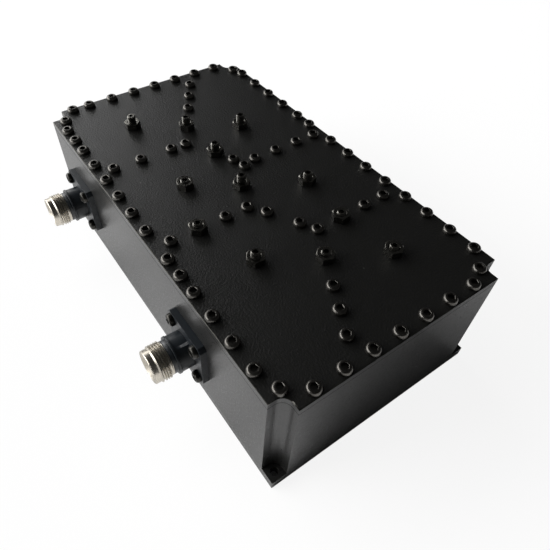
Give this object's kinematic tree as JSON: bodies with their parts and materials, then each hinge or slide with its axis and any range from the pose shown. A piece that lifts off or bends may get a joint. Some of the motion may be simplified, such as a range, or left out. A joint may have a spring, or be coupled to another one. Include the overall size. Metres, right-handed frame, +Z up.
{
  "type": "cavity filter",
  "caption": "Rectangular milled cavity filter with a screwed cover, tuning screws with lock nuts, and two threaded coaxial jacks on one long side.",
  "frame": {"origin": "middle of the four foot holes, on the bottom face of the housing", "axes": "+X along the length of the housing, from the input jack's end to the output jack's end; +Y away from the jacks' side; +Z up through the cover"},
  "size_m": [0.199, 0.13, 0.0667],
  "materials": {
    "painted_housing": "fine matt black paint on milled aluminium",
    "painted_cover": "grainy satin black paint on aluminium plate",
    "blackened_screws": "black painted steel",
    "blackened_nuts": "black painted steel",
    "blackened_studs": "black painted brass, worn at the socket",
    "plated_posts": "silver plated",
    "steel_screws": "zinc plated",
    "jack_shell": "nickel plated brass, painted black behind the thread",
    "white_insulator": "PTFE",
    "gold_contact": "gold plated",
    "plated_rod": "silver plated"
  },
  "bodies": {
    "filter_body": {"housing": "painted_housing", "cover": "painted_cover", "cover_screws": "blackened_screws", "lock_nuts": "blackened_nuts", "resonator_screws": "steel_screws", "flange_screws": "blackened_screws", "resonator_post_1": "plated_posts", "resonator_post_2": "plated_posts", "resonator_post_3": "plated_posts", "resonator_post_4": "plated_posts", "resonator_post_5": "plated_posts", "resonator_post_6": "plated_posts", "input_jack_shell": "jack_shell", "input_jack_insulator": "white_insulator", "input_jack_contact": "gold_contact", "input_tap_rod": "plated_rod", "output_jack_shell": "jack_shell", "output_jack_insulator": "white_insulator", "output_jack_contact": "gold_contact", "output_tap_rod": "plated_rod"},
    "tuner_01": {"tuning_screw_01": "blackened_studs"},
    "tuner_02": {"tuning_screw_02": "blackened_studs"},
    "tuner_03": {"tuning_screw_03": "blackened_studs"},
    "tuner_04": {"tuning_screw_04": "blackened_studs"},
    "tuner_05": {"tuning_screw_05": "blackened_studs"},
    "tuner_06": {"tuning_screw_06": "blackened_studs"},
    "tuner_07": {"tuning_screw_07": "blackened_studs"},
    "tuner_08": {"tuning_screw_08": "blackened_studs"},
    "tuner_09": {"tuning_screw_09": "blackened_studs"},
    "tuner_10": {"tuning_screw_10": "blackened_studs"},
    "tuner_11": {"tuning_screw_11": "blackened_studs"},
    "tuner_12": {"tuning_screw_12": "blackened_studs"}
  },
  "joints": [
    {"name": "tuning_01_depth", "type": "slide", "parent": "filter_body", "child": "tuner_01", "axis": [0, 0, 1], "range_m": [-0.0025, 0.002]},
    {"name": "tuning_02_depth", "type": "slide", "parent": "filter_body", "child": "tuner_02", "axis": [0, 0, 1], "range_m": [-0.0025, 0.002]},
    {"name": "tuning_03_depth", "type": "slide", "parent": "filter_body", "child": "tuner_03", "axis": [0, 0, 1], "range_m": [-0.0025, 0.002]},
    {"name": "tuning_04_depth", "type": "slide", "parent": "filter_body", "child": "tuner_04", "axis": [0, 0, 1], "range_m": [-0.0025, 0.002]},
    {"name": "tuning_05_depth", "type": "slide", "parent": "filter_body", "child": "tuner_05", "axis": [0, 0, 1], "range_m": [-0.0025, 0.002]},
    {"name": "tuning_06_depth", "type": "slide", "parent": "filter_body", "child": "tuner_06", "axis": [0, 0, 1], "range_m": [-0.0025, 0.002]},
    {"name": "tuning_07_depth", "type": "slide", "parent": "filter_body", "child": "tuner_07", "axis": [0, 0, 1], "range_m": [-0.0025, 0.002]},
    {"name": "tuning_08_depth", "type": "slide", "parent": "filter_body", "child": "tuner_08", "axis": [0, 0, 1], "range_m": [-0.0025, 0.002]},
    {"name": "tuning_09_depth", "type": "slide", "parent": "filter_body", "child": "tuner_09", "axis": [0, 0, 1], "range_m": [-0.0025, 0.002]},
    {"name": "tuning_10_depth", "type": "slide", "parent": "filter_body", "child": "tuner_10", "axis": [0, 0, 1], "range_m": [-0.0025, 0.002]},
    {"name": "tuning_11_depth", "type": "slide", "parent": "filter_body", "child": "tuner_11", "axis": [0, 0, 1], "range_m": [-0.0025, 0.002]},
    {"name": "tuning_12_depth", "type": "slide", "parent": "filter_body", "child": "tuner_12", "axis": [0, 0, 1], "range_m": [-0.0025, 0.002]}
  ]
}
